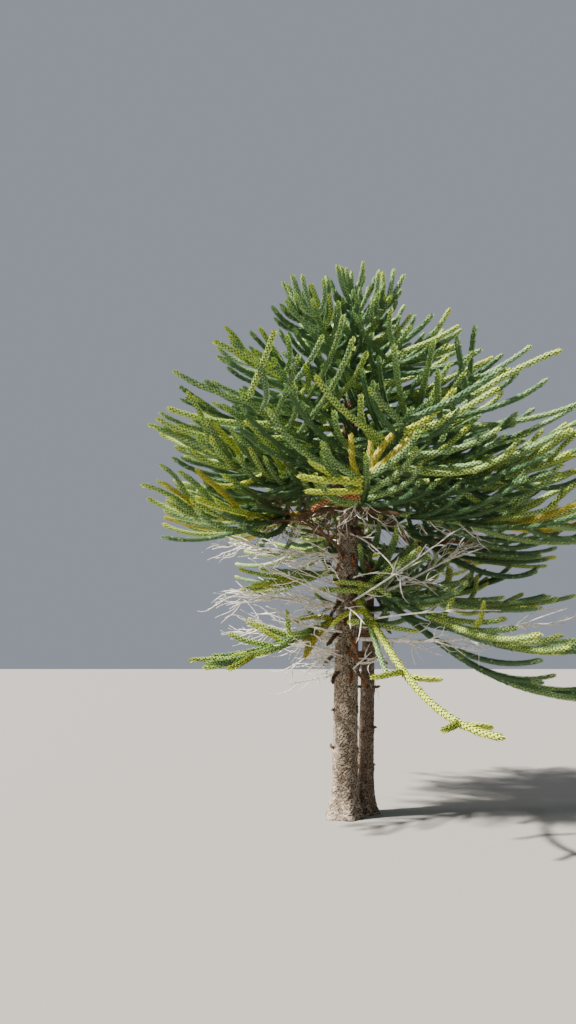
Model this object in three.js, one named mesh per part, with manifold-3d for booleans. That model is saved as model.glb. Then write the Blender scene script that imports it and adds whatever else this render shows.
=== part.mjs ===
// A young monkey puzzle tree, about 5.7 m tall, in millimetres.
// +Z is up, and the origin is the middle of the trunk's flat cut at ground level.
// +X is to the right and +Y is away, for someone who stands in front of the tree.
//
// A bare trunk carries whorls of boughs, and a smaller second stem grows from the same root.
// Each bough is a stem with ropes on both sides. A rope is a shoot clad in hard pointed leaves:
// here it is a slim three-sided core with teeth, and each corner of a tooth is a leaf's tip.
import * as THREE from "three";
import { mergeVertices } from "three/addons/utils/BufferGeometryUtils.js";
import Module from "manifold-3d";

const wasm = await Module();
wasm.setup();

// General sizes
const SEED = 20731;
const GAP = 0.35; // between two solids that meet
const CLEARANCE = 8; // between two masses that pass each other
const MESH_SHARE = 0.74; // of its width, that a rope keeps clear of the ropes of its own mass
const STEP = 50; // a shoot's length is walked in strides of about this
const LEAN_TO_RIGHT = 0.13; // share by which the lowest whorl reaches further to the right
const LEANING_WHORLS = 4; // from this one up, the whorls reach as far to either side
const DROOP_TO_RIGHT = 6; // degrees that a bough straight to the right hangs lower

const TRUNK = {
  foot: [0, 0],
  lean: [0.0297, 0],
  height: 5230,
  taperHeight: 5400,
  baseRadius: 124,
  topRadius: 24,
  flare: 66,
  flareHeight: 170,
  lobes: 5,
  sides: 12,
  rings: 14,
};
const SECOND_STEM = {
  foot: [222, 192],
  lean: [0.046, 0.064],
  height: 2520,
  taperHeight: 2800,
  baseRadius: 80,
  topRadius: 26,
  flare: 62,
  flareHeight: 120,
  lobes: 4,
  sides: 9,
  rings: 8,
};

// A rope's radii at its root, between the teeth and at a tooth, and the teeth along it
const ROPE = { root: 13, core: 27, tooth: 46, toothLength: 390, toothTip: 0.74, endScale: 0.78 };
const HALF_TURN = Math.PI / 3; // from one ring of a rope to the next, always the same way round
const NECK_SHARE = 0.14; // of a bough from the trunk, bare beyond the trunk's own radius
const WOOD = { root: 37, end: 26, sides: 6, rings: 2 };
const DEAD = { root: 21, end: 6, sides: 4, rings: 3, twigRoot: 8, twigEnd: 4, twigShare: 0.34 };

// Whorls of the crown, from the lowest. Rises are angles above the horizontal in degrees, at a
// bough's root, middle and tip. Nodes are the places where ropes leave a bough in pairs.
const WHORLS = [
  {
    name: "skirt", height: 3060, boughs: 6, turn: -90,
    reach: 2120, rise: [-4, -24, 22], nodes: 5, wood: 560,
  },
  { name: "broad", height: 3350, boughs: 6, turn: -86, reach: 2080, rise: [-1, -15, 26], nodes: 5 },
  { name: "wide", height: 3650, boughs: 6, turn: -118, reach: 1900, rise: [2, -11, 28], nodes: 4 },
  { name: "middle", height: 3950, boughs: 5, turn: -50, reach: 1640, rise: [3, -9, 28], nodes: 4 },
  { name: "high", height: 4250, boughs: 5, turn: -82, reach: 1400, rise: [7, -6, 30], nodes: 3 },
  { name: "upper", height: 4560, boughs: 4, turn: -113, reach: 1120, rise: [12, 0, 36], nodes: 3 },
  { name: "crest", height: 4860, boughs: 4, turn: -66, reach: 760, rise: [14, 8, 40], nodes: 3 },
];
// Single live boughs below the crown, which hang further down than the whorls
// Share is the length of their ropes and fall their slope, both as shares of the bough's own.
const HANGERS = [
  {
    name: "hanger_front", height: 2200, turn: [-70, -77, -44],
    reach: 2500, rise: [-22, -62, -6], nodes: 3, share: 0.17, fall: 0.3,
  },
  {
    name: "hanger_long", height: 2400, turn: [-12, -10, -6],
    reach: 2660, rise: [-36, -54, 6], nodes: 3, share: 0.24, fall: 0.7,
  },
  {
    name: "hanger_right", height: 2290, turn: [-38, -44, -40],
    reach: 2420, rise: [-14, -46, 12], nodes: 3, share: 0.28, fall: 0.7,
  },
  {
    name: "hanger_side", height: 2350, turn: [20, 21, 15],
    reach: 2050, rise: [-5, -30, 14], nodes: 4, share: 0.32, fall: 0.8,
  },
  {
    name: "hanger_left", height: 1960, turn: [214, 219, 217],
    reach: 1660, rise: [-20, -25, -5], nodes: 3, share: 0.26, fall: 0.8,
  },
  {
    name: "hanger_low", height: 2410, turn: [168, 166, 164],
    reach: 970, rise: [-4, -10, -16], nodes: 3,
  },
  {
    name: "stem_right", stem: "second", height: 2180, turn: [34, 30, 18],
    reach: 1650, rise: [2, -12, 34], nodes: 3,
  },
  {
    name: "stem_back", stem: "second", height: 2330, turn: [78, 84, 92],
    reach: 1500, rise: [4, -12, 36], nodes: 3,
  },
];
// The upright shoot that ends each stem, with rings of ropes round it
const LEADERS = [
  {
    name: "leader",
    stem: "trunk",
    reach: 430,
    rings: [
      { share: 0.22, ropes: 5, turn: -60, length: 460, rise: [34, 46, 72] },
      { share: 0.5, ropes: 3, turn: -20, length: 300, rise: [50, 60, 78] },
    ],
  },
  {
    name: "stem_leader",
    stem: "second",
    reach: 340,
    rings: [{ share: 0.3, ropes: 5, turn: -75, length: 520, rise: [20, 32, 66] }],
  },
];
// Limbs that died in the shade and lost their leaves
const DEAD_LIMBS = [
  { height: 2520, turn: [-128, -134, -142], reach: 950, rise: [34, 26, 12] },
  { height: 2560, turn: [178, 176, 180], reach: 1250, rise: [2, 8, 10] },
  { height: 2020, turn: [186, 182, 172], reach: 1150, rise: [4, 16, 2] },
  { height: 1690, turn: [206, 196, 190], reach: 1050, rise: [2, 12, 10] },
  { height: 2050, turn: [2, 4, 6], reach: 1400, rise: [18, 28, 30] },
  { height: 1720, turn: [-34, -20, -14], reach: 1900, rise: [-2, -8, 26] },
];
// Where twigs leave a dead limb, and how far they open and fall
const TWIGS = { shares: [0.48, 0.66, 0.84], open: [24, 46], fall: [-34, 20], length: [0.7, 1.1] };

// How ropes stand on a bough, in shares of the bough and in degrees
const SIDE = {
  first: 0.27,
  last: 0.87,
  stagger: 0.011,
  share: 0.4,
  open: [44, 64],
  half: [30, 44],
  close: [4, 24],
};
const TRIES = 3; // a rope that finds no room grows another way, up to this many times
const KEEP_SHARE = 0.62; // a rope that would touch something before this share of it is skipped

const GREEN = new THREE.MeshStandardMaterial({ name: "leaf", color: 0x5c7d35, roughness: 0.6 });
const YELLOW_GREEN = new THREE.MeshStandardMaterial({ name: "low leaf", color: 0x8f9e33, roughness: 0.6 });
const BARK = new THREE.MeshStandardMaterial({ name: "bark", color: 0x6f5f4f, roughness: 0.95 });
const PALE_WOOD = new THREE.MeshStandardMaterial({ name: "dead wood", color: 0xa8a196, roughness: 0.9 });

// The same keys always give the same number from low to high, in whatever order it is asked.
function draw(low, high, ...keys) {
  let h = SEED;
  for (const key of keys) {
    h = Math.imul(h ^ (key + 40503), 0x85ebca6b);
    h ^= h >>> 13;
    h = Math.imul(h, 0xc2b2ae35);
    h ^= h >>> 16;
  }
  return low + ((high - low) * (h >>> 0)) / 2 ** 32;
}

// Growing shoots

// The value at share t of three that a shoot has at its root, middle and tip
const bend = ([root, middle, tip], t) =>
  root * (1 - t) ** 2 + 2 * middle * t * (1 - t) + tip * t ** 2;

function heading(turnDeg, riseDeg) {
  const [turn, rise] = [turnDeg, riseDeg].map(THREE.MathUtils.degToRad);
  return new THREE.Vector3(
    Math.cos(rise) * Math.cos(turn),
    Math.cos(rise) * Math.sin(turn),
    Math.sin(rise),
  );
}

function grow(root, length, turn, rise) {
  const strides = Math.max(6, Math.round(length / STEP));
  const points = [root.clone()];
  for (let k = 0; k < strides; k++) {
    const t = (k + 0.5) / strides;
    const stride = heading(bend(turn, t), bend(rise, t)).multiplyScalar(length / strides);
    points.push(points[k].clone().add(stride));
  }
  return { points, length, turn, rise };
}

function pointAt(shoot, t) {
  const at = Math.min(Math.max(t, 0), 1) * (shoot.points.length - 1);
  const k = Math.min(Math.floor(at), shoot.points.length - 2);
  return shoot.points[k].clone().lerp(shoot.points[k + 1], at - k);
}

const headingAt = (shoot, t) => heading(bend(shoot.turn, t), bend(shoot.rise, t));

function cutShort(shoot, share) {
  const count = Math.round((shoot.points.length - 1) * share);
  const kept = count / (shoot.points.length - 1);
  const part = (angles) => [
    angles[0],
    angles[0] + (angles[1] - angles[0]) * kept,
    bend(angles, kept),
  ];
  return {
    points: shoot.points.slice(0, count + 1),
    length: shoot.length * kept,
    turn: part(shoot.turn),
    rise: part(shoot.rise),
  };
}

const stemRadius = (stem, z) =>
  stem.topRadius +
  (stem.baseRadius - stem.topRadius) * (1 - Math.min(z / stem.taperHeight, 1) ** 2.2);

const stemCentre = (stem, z) =>
  new THREE.Vector3(stem.foot[0] + stem.lean[0] * z, stem.foot[1] + stem.lean[1] * z, z);

const scaleAt = (t) => 1 - (1 - ROPE.endScale) * t ** 2;

// Room that is taken: balls along every limb and rope that is already placed
const taken = [];

function take(shoot, radius, mass) {
  const last = shoot.points.length - 1;
  shoot.points.forEach((centre, k) =>
    taken.push({ centre, radius: radius * scaleAt(k / last), mass }),
  );
}

// The share of the shoot that touches nothing. Near its own root it may touch its own mass.
function freeShare(shoot, radius, mass) {
  const last = shoot.points.length - 1;
  const hit = shoot.points.findIndex((p, k) => {
    const nearRoot = p.distanceTo(shoot.points[0]) < 2.6 * radius;
    return taken.some((ball) => {
      const own = ball.mass === mass;
      const room = radius * scaleAt(k / last) + ball.radius;
      const least = own ? room * MESH_SHARE : room + CLEARANCE;
      return !(own && nearRoot) && p.distanceTo(ball.centre) < least;
    });
  });
  return hit < 0 ? 1 : Math.max(0, hit - 1) / last;
}

// The shoot that finds the most room, as far as it touches nothing, or null
function placed(shoots, radius, mass) {
  const shares = shoots.map((shoot) => freeShare(shoot, radius, mass));
  const best = shares.indexOf(Math.max(...shares));
  if (shares[best] < KEEP_SHARE) return null;
  const kept = shares[best] < 1 ? cutShort(shoots[best], shares[best]) : shoots[best];
  take(kept, radius, mass);
  return kept;
}

function ropeOn(bough, node, side, keys) {
  const { open, half, close } = SIDE;
  const along = SIDE.first + ((SIDE.last - SIDE.first) * node) / (2 * bough.nodes - 2);
  const t = Math.max(along, bough.bareShare + 0.06) + side * SIDE.stagger;
  const turn = bend(bough.turn, t);
  const rise = bend(bough.rise, t) * (bough.fall ?? 1);
  const length = bough.reach * (bough.share ?? SIDE.share) * (1 - 0.4 * t * t) * draw(0.85, 1.12, ...keys, 1);
  return grow(
    pointAt(bough, t),
    length,
    [
      turn + side * draw(...open, ...keys, 2),
      turn + side * draw(...half, ...keys, 3),
      turn + side * draw(...close, ...keys, 4),
    ],
    [
      rise + draw(-8, 16, ...keys, 5),
      rise + draw(-6, 14, ...keys, 6),
      bough.rise[2] + draw(-8, 14, ...keys, 7),
    ],
  );
}

// Ropes in pairs at the bough's even places. The odd ones between them are left for finer growth.
function ropesOn(bough) {
  const ropes = [];
  for (let node = 0; node <= 2 * bough.nodes - 2; node += 2)
    for (const side of [-1, 1]) {
      const tries = Array.from({ length: TRIES }, (_, k) =>
        ropeOn(bough, node, side, [...bough.keys, node, side, k]),
      );
      ropes.push(placed(tries, ROPE.tooth, bough.name));
    }
  return ropes.filter(Boolean);
}

function ropesRound(leader) {
  const ropes = leader.rings.flatMap((ring, r) =>
    Array.from({ length: ring.ropes }, (_, i) => {
      const keys = [...leader.keys, r, i];
      const turn = ring.turn + (360 / ring.ropes) * i + draw(-9, 9, ...keys, 1);
      const length = ring.length * draw(0.85, 1.1, ...keys, 2);
      const rope = grow(pointAt(leader, ring.share), length, [turn, turn, turn], ring.rise);
      return placed([rope], ROPE.tooth, leader.name);
    }),
  );
  return ropes.filter(Boolean);
}

function twigsOn(limb) {
  const twigs = TWIGS.shares.map((share, k) => {
    const [turn, rise] = [bend(limb.turn, share), bend(limb.rise, share)];
    const open = (k % 2 ? 1 : -1) * draw(...TWIGS.open, ...limb.keys, k, 1);
    const fall = draw(...TWIGS.fall, ...limb.keys, k, 2);
    const length = limb.length * DEAD.twigShare * draw(...TWIGS.length, ...limb.keys, k, 3);
    const twig = grow(
      pointAt(limb, share),
      length,
      [turn + open, turn + open * 0.8, turn + open * 0.5],
      [rise + fall, rise + fall, rise + fall * 0.4],
    );
    return placed([twig], DEAD.twigRoot, limb.name);
  });
  return twigs.filter(Boolean);
}

// Solids

// Two directions square to each heading, carried along so that the section doesn't twist
function frames(shoot, shares) {
  let across = new THREE.Vector3(0, 0, 1).cross(headingAt(shoot, shares[0]));
  if (across.length() < 0.05) across = new THREE.Vector3(1, 0, 0);
  return shares.map((t) => {
    const ahead = headingAt(shoot, t);
    across = across.clone().addScaledVector(ahead, -across.dot(ahead)).normalize();
    return { centre: pointAt(shoot, t), ahead, across, up: across.clone().cross(ahead) };
  });
}

// A cylinder whose rings are moved onto the shoot. rings: {t, radius(angle), twist}
function limbSolid(shoot, sides, rings, tipLength) {
  const shape = new THREE.CylinderGeometry(1, 1, 1, sides, rings.length - 1);
  const frame = frames(shoot, rings.map((ring) => ring.t));
  const position = shape.getAttribute("position");
  const p = new THREE.Vector3();
  for (let i = 0; i < position.count; i++) {
    p.fromBufferAttribute(position, i);
    const k = Math.round((p.y + 0.5) * (rings.length - 1));
    const { centre, ahead, across, up } = frame[k];
    const onAxis = Math.hypot(p.x, p.z) < 0.5;
    const angle = Math.atan2(p.z, p.x) + rings[k].twist;
    const radius = onAxis ? 0 : rings[k].radius(angle);
    const out = onAxis && k === rings.length - 1 ? tipLength : 0;
    p.copy(centre)
      .addScaledVector(across, radius * Math.cos(angle))
      .addScaledVector(up, radius * Math.sin(angle))
      .addScaledVector(ahead, out);
    position.setXYZ(i, p.x, p.y, p.z);
  }
  return solidOf(shape);
}

function solidOf(shape) {
  shape.deleteAttribute("normal");
  shape.deleteAttribute("uv");
  const closed = mergeVertices(shape, 1e-3);
  return new wasm.Manifold(
    new wasm.Mesh({
      numProp: 3,
      vertProperties: closed.getAttribute("position").array,
      triVerts: new Uint32Array(closed.index.array),
    }),
  );
}

const joined = (solids) => solids.reduce((sum, solid) => sum.add(solid));

// The one body that counts: loose scraps go, and a sealed hollow is filled.
function mainBody(solid) {
  return solid.decompose().reduce((a, b) => (b.volume() > a.volume() ? b : a));
}

function meshOf(name, solid, material) {
  const { vertProperties, triVerts } = mainBody(solid).getMesh();
  const shape = new THREE.BufferGeometry();
  shape.setAttribute("position", new THREE.BufferAttribute(vertProperties, 3));
  shape.setIndex(new THREE.BufferAttribute(triVerts, 1));
  const mesh = new THREE.Mesh(shape, material);
  mesh.name = name;
  return mesh;
}

// Rings of a toothed rope: a plain neck up to share `start` of the shoot, then teeth to its tip
function ropeRings(shoot, from, start, rootRadius) {
  const teeth = Math.max(2, Math.round((shoot.length * (1 - start)) / ROPE.toothLength));
  const pitch = (1 - start) / teeth;
  const rings = [{ t: from, radius: () => rootRadius, twist: 0 }];
  for (let k = 0; k < teeth; k++) {
    const scale = scaleAt((k + 1) / teeth);
    const between = HALF_TURN * 2 * k;
    if (start + k * pitch > from)
      rings.push({ t: start + k * pitch, radius: () => ROPE.core * scale, twist: between });
    rings.push({
      t: start + (k + ROPE.toothTip) * pitch,
      radius: () => ROPE.tooth * scale,
      twist: between + HALF_TURN,
    });
  }
  return rings;
}

const ropeSolid = (shoot, from = 0, start = 0, rootRadius = ROPE.root) =>
  limbSolid(shoot, 3, ropeRings(shoot, from, start, rootRadius), ROPE.toothLength * 0.25);

function taperSolid(shoot, root, end, sides, count, upTo = 1) {
  const rings = Array.from({ length: count + 1 }, (_, k) => ({
    t: (upTo * k) / count,
    radius: () => root + ((end - root) * k) / count,
    twist: 0,
  }));
  return limbSolid(shoot, sides, rings, 0);
}

// A stem with its lobed flare, made grown mm thicker all round
function stemSolid(stem, grown = 0) {
  const shoot = {
    points: [0, 1].map((t) => stemCentre(stem, stem.height * t)),
    turn: [0, 0, 0],
    rise: [90, 90, 90],
  };
  const rings = Array.from({ length: stem.rings + 1 }, (_, k) => {
    const t = (k / stem.rings) ** 1.35;
    const z = stem.height * t;
    const flare = stem.flare * Math.exp(-z / stem.flareHeight);
    return {
      t,
      radius: (angle) =>
        stemRadius(stem, z) + flare * (1 + 0.3 * Math.cos(stem.lobes * angle)) + grown,
      twist: 0,
    };
  });
  return limbSolid(shoot, stem.sides, rings, 0);
}

// The tree

const stems = { trunk: TRUNK, second: SECOND_STEM };
const stemSolids = { trunk: stemSolid(TRUNK) };
const grownStems = { trunk: stemSolid(TRUNK, GAP), second: stemSolid(SECOND_STEM, GAP) };
stemSolids.second = stemSolid(SECOND_STEM).subtract(grownStems.trunk);

for (const [name, stem] of Object.entries(stems))
  for (let z = 0; z < stem.height; z += STEP)
    taken.push({ centre: stemCentre(stem, z), radius: stemRadius(stem, z), mass: name });

// Every bough with its course, from the lowest whorl to the highest, then the single ones
function boughsOf(whorl, w) {
  return Array.from({ length: whorl.boughs }, (_, i) => {
    const turn = whorl.turn + (360 / whorl.boughs) * i + draw(-6, 6, w, i, 1);
    const swing = draw(-12, 12, w, i, 2);
    const right = heading(turn, 0).x;
    const lean = LEAN_TO_RIGHT * Math.max(0, 1 - w / LEANING_WHORLS) * right;
    const reach = whorl.reach * (1 + lean) * draw(0.94, 1.04, w, i, 3);
    const tilt = draw(-3, 3, w, i, 4) - DROOP_TO_RIGHT * Math.max(0, right);
    const height = whorl.height + draw(-25, 25, w, i, 5);
    return {
      ...whorl,
      ...grow(
        stemCentre(TRUNK, height),
        reach,
        [turn, turn + swing / 2, turn + swing],
        whorl.rise.map((rise) => rise + tilt),
      ),
      name: `${whorl.name}_${i + 1}`,
      height,
      reach,
      stem: "trunk",
      keys: [w, i],
    };
  });
}

function hangerOf(hanger, i) {
  const stem = hanger.stem ?? "trunk";
  const root = stemCentre(stems[stem], hanger.height);
  const course = grow(root, hanger.reach, hanger.turn, hanger.rise);
  return { ...hanger, ...course, stem, keys: [WHORLS.length, i] };
}

function leaderOf(leader, i) {
  const stem = stems[leader.stem];
  const course = grow(stemCentre(stem, stem.height + GAP), leader.reach, [0, 0, 0], [90, 90, 90]);
  return { ...leader, ...course, keys: [WHORLS.length + 1, i] };
}

function deadLimbOf(limb, i) {
  const course = grow(stemCentre(TRUNK, limb.height), limb.reach, limb.turn, limb.rise);
  return { ...course, name: `dead_limb_${i + 1}`, keys: [WHORLS.length + 2, i] };
}

const boughs = [...WHORLS.flatMap(boughsOf), ...HANGERS.map(hangerOf)];
const leaders = LEADERS.map(leaderOf);
const deadLimbs = DEAD_LIMBS.map(deadLimbOf);
for (const bough of boughs) bough.bareShare = (bough.wood ?? 0) / bough.reach;
for (const shoot of [...boughs, ...leaders]) take(shoot, ROPE.tooth, shoot.name);
for (const limb of deadLimbs) take(limb, DEAD.root, limb.name);

const tree = new THREE.Group();
tree.name = "monkey_puzzle_tree";
tree.add(meshOf("trunk", stemSolids.trunk, BARK));
tree.add(meshOf("second_stem", stemSolids.second, BARK));

for (const leader of leaders) {
  const ropes = ropesRound(leader).map((rope) => ropeSolid(rope));
  ropes.push(ropeSolid(leader, 0, 0, ROPE.core));
  tree.add(meshOf(`${leader.name}_foliage`, joined(ropes), GREEN));
}
for (const bough of boughs) {
  const ropes = ropesOn(bough).map((rope) => ropeSolid(rope));
  const foot = grownStems[bough.stem];
  if (bough.wood) {
    const wood = taperSolid(bough, WOOD.root, WOOD.end, WOOD.sides, WOOD.rings, bough.bareShare);
    tree.add(meshOf(`${bough.name}_bough`, wood.subtract(foot), BARK));
    const from = bough.bareShare + GAP / bough.length;
    ropes.push(ropeSolid(bough, from, from, ROPE.core));
    tree.add(meshOf(`${bough.name}_foliage`, joined(ropes), GREEN));
  } else {
    const bare = stemRadius(stems[bough.stem], bough.height) / bough.reach + NECK_SHARE;
    ropes.push(ropeSolid(bough, 0, bare, ROPE.core));
    const leafy = bough.keys[0] < WHORLS.length ? GREEN : YELLOW_GREEN;
    tree.add(meshOf(`${bough.name}_foliage`, joined(ropes).subtract(foot), leafy));
  }
}
for (const limb of deadLimbs) {
  const wood = taperSolid(limb, DEAD.root, DEAD.end, DEAD.sides, DEAD.rings);
  const twigs = twigsOn(limb).map((twig) => taperSolid(twig, DEAD.twigRoot, DEAD.twigEnd, 3, 1));
  tree.add(meshOf(limb.name, joined([wood, ...twigs]).subtract(grownStems.trunk), PALE_WOOD));
}

export default tree;
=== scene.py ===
# The looks of the monkey puzzle tree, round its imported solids.
#
# Boughs and ropes are grown again by the rule that the solids follow, from the same seed, and carried
# on to finer ropes in the room that is left. Every rope is then clad in pointed leaves set in a spiral.
# Growth is worked out in millimetres, and meshes are made in metres.
import math

import bpy
import numpy as np
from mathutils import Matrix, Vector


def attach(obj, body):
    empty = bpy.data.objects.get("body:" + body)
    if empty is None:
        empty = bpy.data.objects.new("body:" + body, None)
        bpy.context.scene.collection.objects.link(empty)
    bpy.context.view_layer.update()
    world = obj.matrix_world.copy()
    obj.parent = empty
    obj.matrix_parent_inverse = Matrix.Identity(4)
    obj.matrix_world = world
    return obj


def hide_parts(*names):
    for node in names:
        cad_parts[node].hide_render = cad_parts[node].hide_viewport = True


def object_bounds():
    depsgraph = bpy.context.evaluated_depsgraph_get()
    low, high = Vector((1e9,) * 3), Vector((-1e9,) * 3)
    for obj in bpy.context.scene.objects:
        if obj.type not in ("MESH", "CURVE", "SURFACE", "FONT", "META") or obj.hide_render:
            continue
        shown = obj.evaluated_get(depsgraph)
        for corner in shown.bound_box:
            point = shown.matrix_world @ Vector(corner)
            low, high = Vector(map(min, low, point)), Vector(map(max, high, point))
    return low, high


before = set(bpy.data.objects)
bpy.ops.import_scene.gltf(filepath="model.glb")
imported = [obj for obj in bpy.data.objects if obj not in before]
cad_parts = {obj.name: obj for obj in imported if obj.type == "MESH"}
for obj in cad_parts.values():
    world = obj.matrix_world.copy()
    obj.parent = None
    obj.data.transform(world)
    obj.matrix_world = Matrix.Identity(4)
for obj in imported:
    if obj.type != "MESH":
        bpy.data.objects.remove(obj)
cad_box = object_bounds()

# Sizes and angles that the solids were made from
SEED = 20731
CLEARANCE = 8
MESH_SHARE = 0.74
STEP = 50
LEAN_TO_RIGHT = 0.13
LEANING_WHORLS = 4
DROOP_TO_RIGHT = 6
TRIES = 3
KEEP_SHARE = 0.62
TOOTH = 46  # radius of a solid rope at a tooth
END_SCALE = 0.78
NECK_SHARE = 0.14
WOOD = {"root": 37, "end": 26}
DEAD = {"root": 21, "end": 6, "twig_root": 8, "twig_end": 4, "twig_share": 0.34}

TRUNK = {
    "foot": (0, 0), "lean": (0.0297, 0), "height": 5230, "taper_height": 5400,
    "base_radius": 124, "top_radius": 24, "flare": 66, "flare_height": 170, "lobes": 5,
}
SECOND_STEM = {
    "foot": (222, 192), "lean": (0.046, 0.064), "height": 2520, "taper_height": 2800,
    "base_radius": 80, "top_radius": 26, "flare": 62, "flare_height": 120, "lobes": 4,
}
STEMS = {"trunk": TRUNK, "second": SECOND_STEM}
TAPER = 2.2

# Whorls from the lowest: height, boughs, turn of the first, reach, rise, places for ropes, bare wood
WHORLS = [
    {"name": "skirt", "height": 3060, "boughs": 6, "turn": -90, "reach": 2120,
     "rise": (-4, -24, 22), "nodes": 5, "wood": 560},
    {"name": "broad", "height": 3350, "boughs": 6, "turn": -86, "reach": 2080,
     "rise": (-1, -15, 26), "nodes": 5},
    {"name": "wide", "height": 3650, "boughs": 6, "turn": -118, "reach": 1900,
     "rise": (2, -11, 28), "nodes": 4},
    {"name": "middle", "height": 3950, "boughs": 5, "turn": -50, "reach": 1640,
     "rise": (3, -9, 28), "nodes": 4},
    {"name": "high", "height": 4250, "boughs": 5, "turn": -82, "reach": 1400,
     "rise": (7, -6, 30), "nodes": 3},
    {"name": "upper", "height": 4560, "boughs": 4, "turn": -113, "reach": 1120,
     "rise": (12, 0, 36), "nodes": 3},
    {"name": "crest", "height": 4860, "boughs": 4, "turn": -66, "reach": 760,
     "rise": (14, 8, 40), "nodes": 3},
]
TIERS = [whorl["name"] for whorl in WHORLS]
HIGH_TIER = 5  # from this whorl up, boughs are short
HANGERS = [
    {"name": "hanger_front", "height": 2200, "turn": (-70, -77, -44), "reach": 2500, "rise": (-22, -62, -6),
     "nodes": 3, "share": 0.17, "fall": 0.3, "tint": "lime"},
    {"name": "hanger_long", "height": 2400, "turn": (-12, -10, -6), "reach": 2660, "rise": (-36, -54, 6),
     "nodes": 3, "share": 0.24, "fall": 0.7},
    {"name": "hanger_right", "height": 2290, "turn": (-38, -44, -40), "reach": 2420, "rise": (-14, -46, 12),
     "nodes": 3, "share": 0.28, "fall": 0.7},
    {"name": "hanger_side", "height": 2350, "turn": (20, 21, 15), "reach": 2050, "rise": (-5, -30, 14),
     "nodes": 4, "share": 0.32, "fall": 0.8},
    {"name": "hanger_left", "height": 1960, "turn": (214, 219, 217), "reach": 1660, "rise": (-20, -25, -5),
     "nodes": 3, "share": 0.26, "fall": 0.8},
    {"name": "hanger_low", "height": 2410, "turn": (168, 166, 164), "reach": 970, "rise": (-4, -10, -16),
     "nodes": 3},
    {"name": "stem_right", "stem": "second", "height": 2180, "turn": (34, 30, 18), "reach": 1650,
     "rise": (2, -12, 34), "nodes": 3},
    {"name": "stem_back", "stem": "second", "height": 2330, "turn": (78, 84, 92), "reach": 1500,
     "rise": (4, -12, 36), "nodes": 3},
]
LEADERS = [
    {"name": "leader", "stem": "trunk", "reach": 430, "rings": [
        {"share": 0.22, "ropes": 5, "turn": -60, "length": 460, "rise": (34, 46, 72)},
        {"share": 0.5, "ropes": 3, "turn": -20, "length": 300, "rise": (50, 60, 78)},
    ]},
    {"name": "stem_leader", "stem": "second", "reach": 340, "rings": [
        {"share": 0.3, "ropes": 5, "turn": -75, "length": 520, "rise": (20, 32, 66)},
    ]},
]
DEAD_LIMBS = [
    {"height": 2520, "turn": (-128, -134, -142), "reach": 950, "rise": (34, 26, 12)},
    {"height": 2560, "turn": (178, 176, 180), "reach": 1250, "rise": (2, 8, 10)},
    {"height": 2020, "turn": (186, 182, 172), "reach": 1150, "rise": (4, 16, 2)},
    {"height": 1690, "turn": (206, 196, 190), "reach": 1050, "rise": (2, 12, 10)},
    {"height": 2050, "turn": (2, 4, 6), "reach": 1400, "rise": (18, 28, 30)},
    {"height": 1720, "turn": (-34, -20, -14), "reach": 1900, "rise": (-2, -8, 26)},
]
TWIGS = {"shares": (0.48, 0.66, 0.84), "open": (24, 46), "fall": (-34, 20), "length": (0.7, 1.1)}
# Where ropes leave a bough, and their length, turns and rises, drawn between two values each
SIDE = {
    "first": 0.27, "last": 0.87, "stagger": 0.011, "past_bare": 0.06,
    "share": 0.4, "shorter": 0.4, "vary": (0.85, 1.12),
    "open": (44, 64), "half": (30, 44), "close": (4, 24),
    "rise": ((-8, 16), (-6, 14), (-8, 14)), "lift_at_tip": 0.6,
}

# Sizes of what is grown finer here
ROPE = 31  # radius of a rope over its leaves, where it is thickest
FINER_CLEARANCE = 2
FINER_SHARE = 0.84
FINER_TRIES = 6
EXTENSION = 45  # a rope goes on past its last place by this, as far as its solid does
PAST_SOLIDS = 55  # the middle line of a rope goes this far outside the box of the solids at most
LEAFY_WOOD = {"root": 27, "end": 20}  # radii of a bough near the trunk, where live leaves start early
BOUGH_CORE = {"root": 20, "end": 12}  # radii of a bough, and of a rope, inside its leaves
CORE = {"root": 16, "end": 11}
LEADER_CORE = {"root": 18, "end": 7}
# A leaf: its length, width, angle, distance to the next and foot's distance from the middle, then how
# far out it is widest and how it is folded as shares of its length, and how far from a tip leaves
# close into a bud and are young
LEAF = {
    "length": 47, "width": 28, "open": 21, "step": 4.4, "core": 15,
    "widest": 0.42, "edge": 0.05, "keel": 0.07, "hook": 0.02, "bud": 34, "young": 80,
}
DRY_STEP = 3.4  # distance along a shoot from one dry leaf to the next
GOLDEN_ANGLE = math.radians(137.508)

TINTS = {
    "deep": (0.066, 0.138, 0.062),
    "middle": (0.205, 0.330, 0.125),
    "cool": (0.225, 0.350, 0.190),
    "fresh": (0.370, 0.510, 0.125),
    "lime": (0.440, 0.530, 0.070),
    "gold": (0.440, 0.375, 0.050),
    "rust": (0.360, 0.145, 0.060),
    # dry: the brown of dead leaves, made darker as painted shade of the crown's inside
    "dry": (0.125, 0.078, 0.045),
}
# Darker tints for the two faces at each leaf's foot, painted shade where the leaf lies under the next ones
SHADED_FOOT = {
    "shaded_foot_green": (0.088, 0.150, 0.062),
    "shaded_foot_warm": (0.270, 0.290, 0.055),
    "shaded_foot_dry": (0.070, 0.035, 0.020),
}
SHADED_FOOT_OF = {"lime": "shaded_foot_warm", "gold": "shaded_foot_warm", "rust": "shaded_foot_dry", "dry": "shaded_foot_dry"}
LIGHTER = {"deep": "middle", "middle": "fresh", "cool": "fresh", "fresh": "lime"}
LEAF_SLOTS = [*TINTS, *SHADED_FOOT]
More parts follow.
